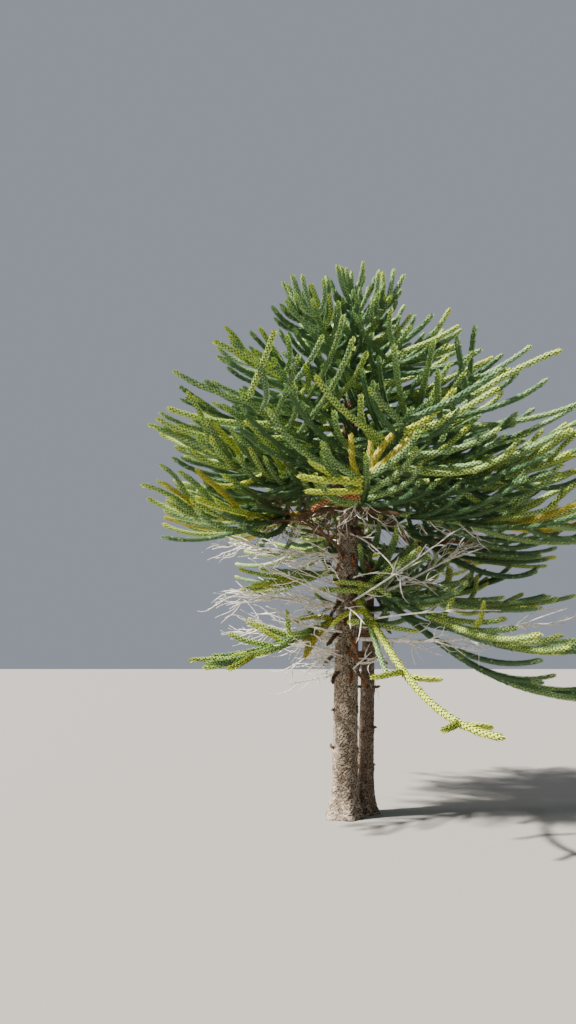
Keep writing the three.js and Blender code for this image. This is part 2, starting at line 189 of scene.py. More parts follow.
# How the ropes of each tier, or of a single bough, share the tints
TIER_TINTS = {
    "skirt": {"deep": 0.14, "middle": 0.32, "fresh": 0.38, "lime": 0.11, "gold": 0.03, "rust": 0.02},
    "skirt_1": {"middle": 0.65, "fresh": 0.35},
    "skirt_5": {"middle": 0.20, "fresh": 0.36, "lime": 0.26, "gold": 0.14, "rust": 0.04},
    "skirt_6": {"middle": 0.28, "fresh": 0.36, "lime": 0.24, "gold": 0.12},
    "broad": {"deep": 0.16, "middle": 0.36, "cool": 0.06, "fresh": 0.36, "lime": 0.06},
    "wide": {"deep": 0.20, "middle": 0.34, "cool": 0.12, "fresh": 0.32, "lime": 0.02},
    "middle": {"deep": 0.24, "middle": 0.26, "cool": 0.24, "fresh": 0.26},
    "high": {"deep": 0.26, "middle": 0.20, "cool": 0.34, "fresh": 0.20},
    "upper": {"deep": 0.26, "middle": 0.14, "cool": 0.44, "fresh": 0.16},
    "crest": {"deep": 0.26, "middle": 0.10, "cool": 0.50, "fresh": 0.14},
    "leader": {"deep": 0.24, "middle": 0.12, "cool": 0.50, "fresh": 0.14},
    "hanger_front": {"fresh": 0.25, "lime": 0.65, "gold": 0.10},
    "hanger_long": {"deep": 0.50, "middle": 0.42, "fresh": 0.08},
    "hanger_right": {"deep": 0.35, "middle": 0.45, "fresh": 0.20},
    "hanger_side": {"deep": 0.30, "middle": 0.42, "fresh": 0.28},
    "hanger_left": {"middle": 0.30, "fresh": 0.38, "lime": 0.26, "gold": 0.06},
    "hanger_low": {"middle": 0.40, "fresh": 0.40, "lime": 0.14, "gold": 0.06},
    "stem_right": {"deep": 0.30, "middle": 0.45, "fresh": 0.25},
    "stem_back": {"deep": 0.30, "middle": 0.45, "fresh": 0.25},
    "stem_leader": {"deep": 0.30, "middle": 0.45, "fresh": 0.25},
}
OLD_SHADED_SHARE = 0.5  # of a bough from the trunk, on which most ropes take the deep tint: partly their older leaves, partly painted shade of the inner crown
OLD_SHADED_ODDS = 0.7
OPEN_BOUGHS = ["skirt_1", "hanger_front"]  # towards the viewer, with few ropes that stand free
# Single ropes that stand out from the rest, by bough: the share of it where they leave, their turns
# and rises at root, middle and tip, their length and their tint
SPRIGS = {
    "skirt_1": [
        (0.8, (180, 170, 60), (44, 84, 88), 430, "gold"),
        (0.86, (-4, 0, 4), (74, 60, 46), 450, "gold"),
        (0.78, (20, 10, 0), (80, 84, 82), 380, "gold"),
        (0.9, (-10, 0, 4), (34, 46, 42), 480, "gold"),
        (0.82, (190, 180, 176), (4, 24, 36), 460, "lime"),
        (0.76, (192, 182, 176), (-8, -4, 4), 450, "lime"),
        (0.88, (196, 184, 178), (-14, 0, 12), 500, "lime"),
        (0.62, (184, 182, 180), (6, -4, -34), 420, "rust"),
    ],
    "hanger_right": [
        (0.17, (196, 184, 178), (8, -2, 4), 560, "fresh"),
        (0.24, (184, 176, 172), (44, 10, 2), 540, "fresh"),
        (0.1, (-64, -30, -10), (34, 20, 36), 660, "fresh"),
        (0.15, (-20, -10, 0), (50, 30, 50), 560, "middle"),
        (0.3, (0, 4, 8), (10, 0, 44), 620, "middle"),
        (0.6, (-30, 0, 10), (40, 60, 80), 280, "lime"),
        (0.46, (-70, -30, 0), (30, 50, 80), 300, "fresh"),
    ],
    "hanger_side": [
        (0.22, (-60, -90, -120), (20, 6, 30), 420, "middle"),
        (0.12, (-40, -20, 0), (20, 4, 30), 640, "middle"),
        (0.18, (-70, -50, -20), (60, 50, 70), 480, "middle"),
        (0.3, (-50, -30, -10), (24, 10, 40), 560, "deep"),
        (0.38, (-30, -20, -10), (40, 30, 56), 520, "fresh"),
        (0.1, (60, 40, 30), (24, 10, 46), 640, "deep"),
        (0.45, (-20, 0, 10), (60, 76, 86), 290, "middle"),
        (0.55, (40, 20, 0), (50, 70, 84), 340, "fresh"),
        (0.68, (-30, -10, 10), (36, 64, 84), 320, "fresh"),
    ],
    "hanger_front": [
        (0.2, (196, 186, 190), (10, -14, -46), 330, "lime"),
        (0.1, (-66, -74, -56), (-30, -70, -58), 860, "middle"),
    ],
    "stem_right": [
        (0.15, (-30, -20, -10), (30, 24, 50), 580, "deep"),
        (0.3, (-10, -10, 0), (50, 34, 50), 580, "middle"),
        (0.24, (84, 60, 40), (30, 20, 40), 540, "deep"),
        (0.44, (-40, -20, -10), (16, 10, 40), 560, "middle"),
        (0.6, (10, 10, 10), (50, 76, 86), 340, "fresh"),
        (0.76, (-30, 0, 10), (30, 60, 84), 330, "middle"),
    ],
    "hanger_long": [
        (0.1, (30, 10, 4), (-4, -6, 34), 760, "middle"),
        (0.16, (-50, -24, -10), (-6, -10, 26), 700, "deep"),
        (0.22, (26, 14, 4), (4, -8, 40), 720, "fresh"),
    ],
    "stem_back": [
        (0.2, (20, 26, 30), (44, 30, 50), 600, "middle"),
        (0.35, (130, 120, 100), (10, 0, 30), 600, "deep"),
        (0.3, (10, 6, 0), (20, 10, 40), 620, "middle"),
    ],
    "hanger_low": [
        (0.25, (200, 190, 184), (-24, -20, 4), 620, "fresh"),
        (0.45, (216, 200, 190), (-6, -24, -4), 560, "lime"),
        (0.35, (230, 210, 190), (10, -10, 6), 600, "middle"),
        (0.6, (196, 190, 180), (10, 0, 16), 520, "fresh"),
    ],
    "hanger_left": [
        (0.08, (240, 214, 200), (-10, -40, -50), 440, "gold"),
        (0.1, (220, 206, 196), (16, 0, -24), 480, "lime"),
        (0.17, (230, 220, 206), (-30, -54, -58), 360, "gold"),
        (0.13, (196, 190, 184), (-34, -36, -16), 420, "gold"),
        (0.2, (190, 180, 176), (-10, -30, -26), 400, "lime"),
        (0.27, (240, 236, 226), (-44, -60, -66), 260, "gold"),
        (0.42, (190, 184, 170), (20, 14, 26), 430, "fresh"),
        (0.5, (180, 176, 172), (32, 24, 30), 380, "lime"),
        (0.46, (200, 200, 200), (74, 84, 88), 230, "fresh"),
        (0.56, (196, 190, 176), (8, 4, 26), 420, "fresh"),
    ],
}
# Rings of ropes on the upper part of each stem by height, and on the shoot that ends it by share: how
# many, the turn of the first, their length and their rise
RINGS = {
    "trunk": {
        4340: (5, 20, 640, (4, 10, 44)),
        4450: (5, -70, 620, (8, 16, 50)),
        4670: (5, -30, 600, (10, 20, 54)),
        4770: (5, 10, 580, (14, 24, 58)),
        4940: (5, -50, 540, (18, 28, 62)),
        5050: (4, -10, 500, (20, 34, 66)),
        5160: (4, 30, 420, (26, 38, 70)),
        0.08: (3, -24, 380, (26, 38, 70)),
        0.6: (3, 15, 200, (30, 44, 74)),
    },
    "second": {
        1900: (5, -20, 640, (-14, 0, 36)),
        2040: (6, -60, 660, (-6, 4, 40)),
        2180: (6, 5, 680, (0, 10, 46)),
        2300: (6, -30, 660, (6, 16, 52)),
        2420: (6, -5, 620, (12, 24, 58)),
        2500: (6, -50, 560, (20, 32, 64)),
    },
}
RING_ASIDE = (0, -18, 18, -34, 34)  # degrees by which a rope of a ring is turned to find room
RING_SHARE = 0.6
RING_CLEARANCE = -36  # ropes of a ring may pass this far into those of other boughs


# Growth

def draw(low, high, *keys):
    """The same number from low to high for the same keys, as in the solids."""
    h = SEED
    for key in keys:
        h = ((h ^ (int(key) + 40503)) * 0x85EBCA6B) & 0xFFFFFFFF
        h ^= h >> 13
        h = (h * 0xC2B2AE35) & 0xFFFFFFFF
        h ^= h >> 16
    return low + (high - low) * h / 2**32


def bend(values, t):
    root, middle, tip = values
    return root * (1 - t) ** 2 + 2 * middle * t * (1 - t) + tip * t**2


def heading(turn, rise):
    turn, rise = np.radians(turn), np.radians(rise)
    return np.stack([np.cos(rise) * np.cos(turn), np.cos(rise) * np.sin(turn), np.sin(rise)], axis=-1)


def rounded(x):
    return math.floor(x + 0.5)


def grow(root, length, turn, rise):
    strides = max(6, rounded(length / STEP))
    t = (np.arange(strides) + 0.5) / strides
    paces = heading(bend(turn, t), bend(rise, t)) * length / strides
    points = np.vstack([root, root + np.cumsum(paces, axis=0)])
    return {"points": points, "length": length, "turn": turn, "rise": rise}


def point_at(shoot, t):
    """Points at shares t of the shoot. Past its end it goes straight on."""
    t = np.atleast_1d(np.asarray(t, float))
    points = shoot["points"]
    at = np.clip(t, 0, 1) * (len(points) - 1)
    k = np.minimum(at.astype(int), len(points) - 2)
    inside = points[k] + (points[k + 1] - points[k]) * (at - k)[:, None]
    beyond = np.maximum(t - 1, 0)[:, None] * shoot["length"] * heading(shoot["turn"][2], shoot["rise"][2])
    return inside + beyond


def cut_short(shoot, share):
    last = len(shoot["points"]) - 1
    count = rounded(last * share)
    kept = count / last

    def part(angles):
        return (angles[0], angles[0] + (angles[1] - angles[0]) * kept, bend(angles, kept))

    return {
        **shoot, "points": shoot["points"][: count + 1], "length": shoot["length"] * kept,
        "turn": part(shoot["turn"]), "rise": part(shoot["rise"]),
    }


def stem_radius(stem, z):
    fall = 1 - np.minimum(z / stem["taper_height"], 1) ** TAPER
    return stem["top_radius"] + (stem["base_radius"] - stem["top_radius"]) * fall


def stem_centre(stem, z):
    z = np.asarray(z, float)
    (x, y), (lean_x, lean_y) = stem["foot"], stem["lean"]
    return np.stack([x + lean_x * z, y + lean_y * z, z], axis=-1)


def scale_at(t):
    return 1 - (1 - END_SCALE) * np.asarray(t) ** 2


class Room:
    """The room that is taken: balls along every limb and rope, each with the name of its mass."""

    MOST = 60000  # balls
    NEAR = 140  # distance within which balls are looked at
    OWN = 2.6  # radii from its root within which a rope may touch its own mass

    def __init__(self):
        self.centres = np.zeros((self.MOST, 3))
        self.radii = np.zeros(self.MOST)
        self.owners = np.zeros(self.MOST, int)
        self.names = {}
        self.count = 0
        self.box = (-np.inf, np.inf)

    def add(self, centres, radii, mass):
        end = self.count + len(centres)
        self.centres[self.count:end] = centres
        self.radii[self.count:end] = radii
        self.owners[self.count:end] = self.names.setdefault(mass, len(self.names))
        self.count = end

    def take(self, shoot, radius, mass):
        last = len(shoot["points"]) - 1
        self.add(shoot["points"], radius * scale_at(np.arange(last + 1) / last), mass)

    def free_share(self, shoot, radius, mass, mesh_share, clearance):
        """The share of the shoot that touches nothing. Near its own root it may touch its own mass."""
        points = shoot["points"]
        last = len(points) - 1
        centres, radii = self.centres[: self.count], self.radii[: self.count]
        reach = 2 * radius + self.NEAR
        low, high = points.min(axis=0) - reach, points.max(axis=0) + reach
        near = np.all((centres > low) & (centres < high), axis=1)
        centres, radii = centres[near], radii[near]
        own = self.owners[: self.count][near] == self.names.get(mass)
        distance = np.linalg.norm(points[:, None] - centres[None], axis=2)
        room = (radius * scale_at(np.arange(last + 1) / last))[:, None] + radii[None]
        least = np.where(own[None], room * mesh_share, room + clearance)
        near_root = np.linalg.norm(points - points[0], axis=1) < self.OWN * radius
        outside = ((points < self.box[0]) | (points > self.box[1])).any(axis=1)
        touching = (distance < least) & ~(near_root[:, None] & own[None])
        hits = np.flatnonzero(touching.any(axis=1) | outside)
        return max(0, hits[0] - 1) / last if len(hits) else 1.0

    def placed(self, shoots, radius, mass, mesh_share=MESH_SHARE, clearance=CLEARANCE):
        """The shoot that finds the most room, as far as it touches nothing, or None."""
        shares = [self.free_share(shoot, radius, mass, mesh_share, clearance) for shoot in shoots]
        best = shares.index(max(shares))
        if shares[best] < KEEP_SHARE:
            return None
        kept = cut_short(shoots[best], shares[best]) if shares[best] < 1 else shoots[best]
        self.take(kept, radius, mass)
        return kept


def along_of(bough, node):
    """The share of a bough at one of the places where ropes leave it."""
    return SIDE["first"] + (SIDE["last"] - SIDE["first"]) * node / (2 * bough["nodes"] - 2)


def rope_on(bough, node, side, keys, lift=0.0, share=1.0, tip=0.0):
    t = max(along_of(bough, node), bough["bare_share"] + SIDE["past_bare"]) + side * SIDE["stagger"]
    turn, rise = bend(bough["turn"], t), bend(bough["rise"], t) * bough.get("fall", 1)
    longest = bough["reach"] * bough.get("share", SIDE["share"])
    length = longest * (1 - SIDE["shorter"] * t * t) * draw(*SIDE["vary"], *keys, 1) * share
    turns = tuple(turn + side * draw(*SIDE[k], *keys, n) for n, k in ((2, "open"), (3, "half"), (4, "close")))
    means = (rise + lift, rise + lift, bough["rise"][2] + SIDE["lift_at_tip"] * lift + tip)
    rises = tuple(mean + draw(*SIDE["rise"][n], *keys, 5 + n) for n, mean in enumerate(means))
    return {**grow(point_at(bough, t)[0], length, turns, rises), "along": t, "keys": keys}


def ropes_on(bough, room):
    ropes = []
    for node in range(0, 2 * bough["nodes"] - 1, 2):
        for side in (-1, 1):
            tries = [rope_on(bough, node, side, (*bough["keys"], node, side, k)) for k in range(TRIES)]
            ropes.append(room.placed(tries, TOOTH, bough["name"]))
    return [rope for rope in ropes if rope]


def ropes_round(leader, room):
    ropes = []
    for r, ring in enumerate(leader["rings"]):
        for i in range(ring["ropes"]):
            keys = (*leader["keys"], r, i)
            turn = ring["turn"] + 360 / ring["ropes"] * i + draw(-9, 9, *keys, 1)
            length = ring["length"] * draw(0.85, 1.1, *keys, 2)
            rope = grow(point_at(leader, ring["share"])[0], length, (turn, turn, turn), ring["rise"])
            ropes.append(room.placed([{**rope, "along": ring["share"], "keys": keys}], TOOTH, leader["name"]))
    return [rope for rope in ropes if rope]


def twigs_on(limb, room):
    twigs = []
    for k, share in enumerate(TWIGS["shares"]):
        turn, rise = bend(limb["turn"], share), bend(limb["rise"], share)
        opened = (1 if k % 2 else -1) * draw(*TWIGS["open"], *limb["keys"], k, 1)
        fall = draw(*TWIGS["fall"], *limb["keys"], k, 2)
        length = limb["length"] * DEAD["twig_share"] * draw(*TWIGS["length"], *limb["keys"], k, 3)
        twig = grow(
            point_at(limb, share)[0], length,
            (turn + opened, turn + opened * 0.8, turn + opened * 0.5),
            (rise + fall, rise + fall, rise + fall * 0.4),
        )
        twigs.append(room.placed([{**twig, "keys": (*limb["keys"], k)}], DEAD["twig_root"], limb["name"]))
    return [twig for twig in twigs if twig]


def boughs_of(whorl, w):
    boughs = []
    for i in range(whorl["boughs"]):
        turn = whorl["turn"] + 360 / whorl["boughs"] * i + draw(-6, 6, w, i, 1)
        swing = draw(-12, 12, w, i, 2)
        right = math.cos(math.radians(turn))
        lean = LEAN_TO_RIGHT * max(0, 1 - w / LEANING_WHORLS) * right
        reach = whorl["reach"] * (1 + lean) * draw(0.94, 1.04, w, i, 3)
        tilt = draw(-3, 3, w, i, 4) - DROOP_TO_RIGHT * max(0, right)
        height = whorl["height"] + draw(-25, 25, w, i, 5)
        course = grow(
            stem_centre(TRUNK, height), reach, (turn, turn + swing / 2, turn + swing),
            tuple(rise + tilt for rise in whorl["rise"]),
        )
        name = f"{whorl['name']}_{i + 1}"
        own = {"name": name, "tier": whorl["name"], "height": height, "reach": reach, "keys": (w, i)}
        boughs.append({**whorl, **course, **own, "stem": "trunk"})
    return boughs


def hanger_of(hanger, i):
    stem = hanger.get("stem", "trunk")
    root = stem_centre(STEMS[stem], hanger["height"])
    course = grow(root, hanger["reach"], hanger["turn"], hanger["rise"])
    return {**hanger, **course, "tier": hanger["name"], "stem": stem, "keys": (len(WHORLS), i)}


def leader_of(leader, i):
    stem = STEMS[leader["stem"]]
    course = grow(stem_centre(stem, stem["height"] + 0.35), leader["reach"], (0, 0, 0), (90, 90, 90))
    return {**leader, **course, "tier": leader["name"], "keys": (len(WHORLS) + 1, i)}


def dead_limb_of(limb, i):
    course = grow(stem_centre(TRUNK, limb["height"]), limb["reach"], limb["turn"], limb["rise"])
    return {**course, "name": f"dead_limb_{i + 1}", "keys": (len(WHORLS) + 2, i)}


boughs = [bough for w, whorl in enumerate(WHORLS) for bough in boughs_of(whorl, w)]
boughs += [hanger_of(hanger, i) for i, hanger in enumerate(HANGERS)]
leaders = [leader_of(leader, i) for i, leader in enumerate(LEADERS)]
dead_limbs = [dead_limb_of(limb, i) for i, limb in enumerate(DEAD_LIMBS)]
for bough in boughs:
    bough["bare_share"] = bough.get("wood", 0) / bough["reach"]


def filled(room, pace, radius):
    """Takes the room of both stems, of each bough and top shoot with its ropes, and of the dead limbs."""
    for name, stem in STEMS.items():
        heights = np.arange(0, stem["height"], pace)
        room.add(stem_centre(stem, heights), stem_radius(stem, heights), name)
    for shoot in [*boughs, *leaders]:
        for part in [shoot, *shoot.get("ropes", [])]:
            room.take(part, radius, shoot["name"])
    for limb in dead_limbs:
        room.take(limb, DEAD["root"], limb["name"])
    return room


# The ropes that the solids have, found in the same order and the same room
solid_room = filled(Room(), STEP, TOOTH)
for leader in leaders:
    leader["ropes"] = ropes_round(leader, solid_room)
for bough in boughs:
    bough["ropes"] = ropes_on(bough, solid_room)
for limb in dead_limbs:
    limb["twigs"] = twigs_on(limb, solid_room)

# How the ropes of single boughs lie: their angles from the bough as shares of their first one in the
# solids, at root, middle and tip, and their length as a share
LAID = {
    "hanger_front": (1.0, 1.25, 1.45, 0.8),
    "hanger_long": (0.6, 0.5, 0.2, 1.2),
    "hanger_right": (0.6, 0.5, 0.25, 1.3),
    "hanger_side": (0.7, 0.6, 0.3, 1.25),
    "hanger_left": (0.7, 0.6, 0.3, 1.1),
}
LAID_FINER = (1.0, 1.0, 0.9, 1.25)  # and those of finer ropes on boughs that point at the viewer or away
FACING = 0.7  # share of its reach by which such a bough comes nearer or goes away
LEAST_LAID = 0.3  # share of a rope that is kept at least where it would leave the box
# The middle line of no rope leaves this box, which is a little larger than that of the solids
low_corner, high_corner = (1000 * np.array(corner) for corner in cad_box)
reach_box = (low_corner - PAST_SOLIDS, high_corner + PAST_SOLIDS)


def to_viewer(bough):
    return -math.sin(math.radians(bough["turn"][0]))


def laid(bough, rope, finer=False):
    spread = finer and abs(to_viewer(bough)) > FACING and bough["keys"][0] < HIGH_TIER
    if bough["name"] not in LAID and not spread:
        return rope
    *shares, longer = LAID.get(bough["name"], LAID_FINER)
    ahead = bend(bough["turn"], rope["along"])
    opened = rope["turn"][0] - ahead
    turns = tuple(ahead + share * opened for share in shares)
    course = grow(rope["points"][0], rope["length"] * longer, turns, rope["rise"])
    within = ((course["points"] > reach_box[0]) & (course["points"] < reach_box[1])).all(axis=1)
    return {**rope, **cut_short(course, max(LEAST_LAID, within.mean()))}


for bough in boughs:
    bough["ropes"] = [laid(bough, rope) for rope in bough["ropes"]]

# Finer ropes between them, in the room that ropes of their true thickness leave
room = Room()
room.box = reach_box
filled(room, STEP / 2, ROPE)

# Sorts of finer ropes: the first place, how much they rise, their length as a share, how much more
# their tips turn up, the shares of the bough between which they stand, the kinds of boughs that have
# none, and the one whorl that has them
FINER = [
    (1, -4, 1.7, 0, 0, 0.62, "", None),
    (0, -15, 1.5, 16, 0, 0.6, "", None),
    (1, -4, 1.2, 2, 0.62, 1, "", None),
    (1, 8, 1.5, -8, 0, 0.6, "facing", None),
    (-1, -2, 1.5, 0, 0, 0.6, "bare single stem", None),
    (1, -24, 1.4, 26, 0, 0.6, "facing high single", None),
    (0, -14, 0.9, 16, 0.6, 1, "facing high single", None),
    (0, 14, 1.2, -8, 0.3, 0.7, "facing high single", None),
    (1, 28, 1.1, -14, 0.3, 1, "facing", "skirt"),
    (0, -28, 1.2, 28, 0.2, 0.8, "facing", "broad"),
    (1, 22, 1.9, 10, 0.2, 1, "", "crest"),
    (0, 40, 1.7, 6, 0.2, 1, "", "crest"),
    (1, 30, 1.4, 8, 0.3, 1, "", "upper"),
    (-2, 10, 1.4, -6, 0, 0.3, "bare facing single stem", None),
    (-2, -16, 1.3, 16, 0, 0.3, "bare facing single stem", None),
]
SINGLE_TIP = 0.3  # on single boughs, the tips of finer ropes turn up by this share of that


def kinds_of(bough):
    """What sets a bough apart: single on the trunk, on the second stem, short, facing the viewer or bare."""
    kinds = ["bare"] if bough["bare_share"] else []
    if bough["tier"] not in TIERS:
        kinds.append("single" if bough["stem"] == "trunk" else "stem")
    elif bough["keys"][0] >= HIGH_TIER:
        kinds.append("high")
    elif to_viewer(bough) > FACING:
        kinds.append("facing")
    return kinds


def ring_ropes(leader, r, place, ring):
    """Ropes round a stem at a height, or round the shoot that ends it at a share of that."""
    stem = STEMS[leader["stem"]]
    on_stem = place > 1
    root = stem_centre(stem, place) if on_stem else point_at(leader, place)[0]
    owner = leader["stem"] if on_stem else leader["name"]
    count, first, length, rises = ring
    ropes = []
    for i in range(count):
        keys = (*leader["keys"], 30 + r, i)
        turn = first + 360 / count * i + draw(-14, 14, *keys, 1)
        tries = [
            grow(root, length * draw(0.8, 1.15, *keys, k, 2), (turn + aside,) * 3, rises)
            for k, aside in enumerate(RING_ASIDE)
        ]
        rope = room.placed(tries, ROPE, owner, RING_SHARE, RING_CLEARANCE)
        if rope:
            ropes.append({**rope, "keys": keys})
    return ropes


def finer_ropes(bough, sort, first, lift, share, tip, start, end):
    """The finer ropes of one sort that find room on a bough."""
    tip = tip * (1 if bough["tier"] in TIERS else SINGLE_TIP)
    ropes = []
    for node in range(first, 2 * bough["nodes"], 2):
        if not start <= max(along_of(bough, node), bough["bare_share"]) < end:
            continue
        for side in (-1, 1):
            keys = (*bough["keys"], 20 + sort, node, side)
            tries = [rope_on(bough, node, side, (*keys, k), lift, share, tip) for k in range(FINER_TRIES)]
            tries = [laid(bough, rope, True) for rope in tries]
            ropes.append(room.placed(tries, ROPE, bough["name"], FINER_SHARE, FINER_CLEARANCE))
    return [rope for rope in ropes if rope]


for leader in leaders:
    for r, (place, ring) in enumerate(RINGS[leader["stem"]].items()):
        leader["ropes"] += ring_ropes(leader, r, place, ring)
for bough in boughs:
    for share, turns, rises, length, tint in SPRIGS.get(bough["name"], []):
        course = grow(point_at(bough, share)[0], length, turns, rises)
        keys = (*bough["keys"], 90, rounded(100 * share))
        bough["ropes"].append({**course, "along": share, "keys": keys, "tint": tint})
        room.take(course, ROPE, bough["name"])
for sort, (*finer, left_out, whorl) in enumerate(FINER):
    for bough in boughs:
        here = whorl in (None, bough["tier"]) and bough["name"] not in OPEN_BOUGHS
        if here and not set(left_out.split()) & set(kinds_of(bough)):
            bough["ropes"] += finer_ropes(bough, sort, *finer)


# Meshes

class Mesh:
    """Vertices in millimetres and faces with their slots, gathered from many shoots."""

    def __init__(self):
        self.vertices, self.triangles, self.slots = [], [], []
        self.count = 0

    def add(self, vertices, triangles, slots):
        self.vertices.append(vertices)
        self.triangles.append(triangles + self.count)
        self.slots.append(np.broadcast_to(slots, len(triangles)))
        self.count += len(vertices)

    def made(self, name, materials, smooth=False):
        vertices = np.vstack(self.vertices).astype(np.float32) / 1000
        triangles = np.vstack(self.triangles).astype(np.int32)
        mesh = bpy.data.meshes.new(name)
        mesh.vertices.add(len(vertices))
        mesh.vertices.foreach_set("co", vertices.ravel())
        mesh.loops.add(triangles.size)
        mesh.loops.foreach_set("vertex_index", triangles.ravel())
        mesh.polygons.add(len(triangles))
        mesh.polygons.foreach_set("loop_start", np.arange(0, triangles.size, 3, dtype=np.int32))
        mesh.polygons.foreach_set("material_index", np.concatenate(self.slots).astype(np.int32))
        mesh.polygons.foreach_set("use_smooth", np.full(len(triangles), smooth))
        mesh.update(calc_edges=True)
        for material in materials:
            mesh.materials.append(material)
        piece = bpy.data.objects.new(name, mesh)
        bpy.context.scene.collection.objects.link(piece)
        return piece


def frames_along(shoot, t):
    """Centres, headings and two directions square to each heading, at shares t of the shoot."""
    inside = np.clip(t, 0, 1)
    ahead = heading(bend(shoot["turn"], inside), bend(shoot["rise"], inside))
    upright = (np.abs(ahead[:, 2]) > 0.97).any()
    across = np.cross((1.0, 0, 0) if upright else (0, 0, 1.0), ahead)
    across /= np.linalg.norm(across, axis=1)[:, None]
    return point_at(shoot, t), ahead, across, np.cross(ahead, across)


def between(ends, t):
    return ends["root"] + (ends["end"] - ends["root"]) * t


def ring_faces(rings, sides):
    """The faces between rings of vertices, and those that close both ends at two vertices after them."""
    k, i = np.meshgrid(np.arange(rings - 1), np.arange(sides), indexing="ij")
    low, low_next = k * sides + i, k * sides + (i + 1) % sides
    high, high_next = low + sides, low_next + sides
    faces = np.stack([low, low_next, high_next, low, high_next, high], axis=-1).reshape(-1, 3)
    foot, top = np.arange(sides), (rings - 1) * sides + np.arange(sides)
    closed_foot = np.stack([np.full(sides, rings * sides), np.roll(foot, -1), foot], axis=1)
    closed_top = np.stack([np.full(sides, rings * sides + 1), top, np.roll(top, -1)], axis=1)
    return np.vstack([faces, closed_foot, closed_top])


# Waves of a rough limb's radius: how often round it and along it, and their shift from limb to limb
SWELLS = ((2, 31, 1.3), (3, -57, 2.1), (5, 83, 0.7))


def tube(mesh, shoot, t, radii, sides, slot, rough=0.0, key=0):
    """A round limb through the shares t of a shoot, closed at both ends."""
    centre, ahead, across, up = frames_along(shoot, t)
    angle = np.arange(sides) * 2 * math.pi / sides
    ring = across[:, None] * np.cos(angle)[None, :, None] + up[:, None] * np.sin(angle)[None, :, None]
    radius = np.asarray(radii, float)[:, None]
    if rough:
        swell = sum(np.sin(angle[None] * f + t[:, None] * g + key * h) for f, g, h in SWELLS)
        radius = radius * (1 + rough * swell / len(SWELLS))
    else:
        radius = np.broadcast_to(radius, (len(t), sides))
    vertices = (centre[:, None] + ring * radius[..., None]).reshape(-1, 3)
    tip = centre[-1:] + ahead[-1:] * radii[-1] * 0.6
    mesh.add(np.vstack([vertices, centre[:1], tip]), ring_faces(len(t), sides), slot)


def share_steps(shoot, first, last, pace):
    """Shares of the shoot from first to last, about pace millimetres apart."""
    count = max(2, rounded((last - first) * shoot["length"] / pace) + 1)
    return np.linspace(first, last, count)


def leaves(mesh, shoot, first, tint, size=1.0, seed=0, last=None, core=None, pressed=1.0, step=LEAF["step"]):
    """Clads a shoot in leaves from share first to last, in a spiral, each with a fold down its middle."""
    length = shoot["length"]
    open_ended = last is not None
    last = last or 1 + EXTENSION / length
    count = int((last - first) * length / step)
    generator = np.random.default_rng(seed)
    t = first + (last - first) * (np.arange(count) + 0.5) / count
    centre, ahead, across, up = frames_along(shoot, t)
    to_tip = (last - t) * length
    closing = np.ones(count) if open_ended else np.clip(to_tip / LEAF["bud"], 0, 1)
    scale = size * (1 - 0.12 * np.clip(t, 0, 1) ** 2) * (0.8 + 0.2 * closing)
    scale = scale * generator.uniform(0.92, 1.08, count)
    opened = LEAF["open"] * pressed * (0.75 + 0.25 * closing)
    opened = np.radians(opened * generator.uniform(0.88, 1.12, count))
    angle = np.arange(count) * GOLDEN_ANGLE + seed
    out = across * np.cos(angle)[:, None] + up * np.sin(angle)[:, None]
    aside = up * np.cos(angle)[:, None] - across * np.sin(angle)[:, None]
    along = ahead * np.cos(opened)[:, None] + out * np.sin(opened)[:, None]
    face = out * np.cos(opened)[:, None] - ahead * np.sin(opened)[:, None]
    long, wide = (LEAF["length"] * scale)[:, None], (LEAF["width"] / 2 * scale)[:, None]
    foot = LEAF["core"] * scale * (0.3 + 0.7 * closing) if core is None else core(t)
    base = centre + out * foot[:, None]
    middle = base + along * LEAF["widest"] * long
    corners = np.stack([
        base,
        middle - aside * wide - face * LEAF["edge"] * long,
        middle + aside * wide - face * LEAF["edge"] * long,
        middle + face * LEAF["keel"] * long,
        base + along * long - face * LEAF["hook"] * long,
    ], axis=1)
    faces = np.array([[0, 2, 3], [0, 3, 1], [1, 3, 4], [3, 2, 4]])
    triangles = (np.arange(count)[:, None, None] * corners.shape[1] + faces[None]).reshape(-1, 3)
    outer = np.full(count, LEAF_SLOTS.index(tint))
    young = (to_tip < LEAF["young"]) & (not open_ended)
    outer[young | (generator.random(count) < 0.08)] = LEAF_SLOTS.index(LIGHTER.get(tint, tint))
    # painted shade: the foot half of each leaf, under the next leaves, takes a darker tint
    shaded_foot = np.full(count, LEAF_SLOTS.index(SHADED_FOOT_OF.get(tint, "shaded_foot_green")))
    mesh.add(corners.reshape(-1, 3), triangles, np.stack([shaded_foot, shaded_foot, outer, outer], axis=1).ravel())


def tint_of(bough, *keys, along=1.0):
    """The tint of a rope, by the shares of its bough or tier. Most near the trunk take the deep tint, for
    older leaves and as painted shade of the inner crown.
    """
    if along < OLD_SHADED_SHARE and bough["tier"] in TIERS and draw(0, 1, *keys, 78) < OLD_SHADED_ODDS:
        return "deep"
    at = draw(0, 1, *keys, 77)
    for tint, share in TIER_TINTS.get(bough["name"], TIER_TINTS[bough["tier"]]).items():
        at -= share
        if at < 0:
            return tint
    return tint


# Materials

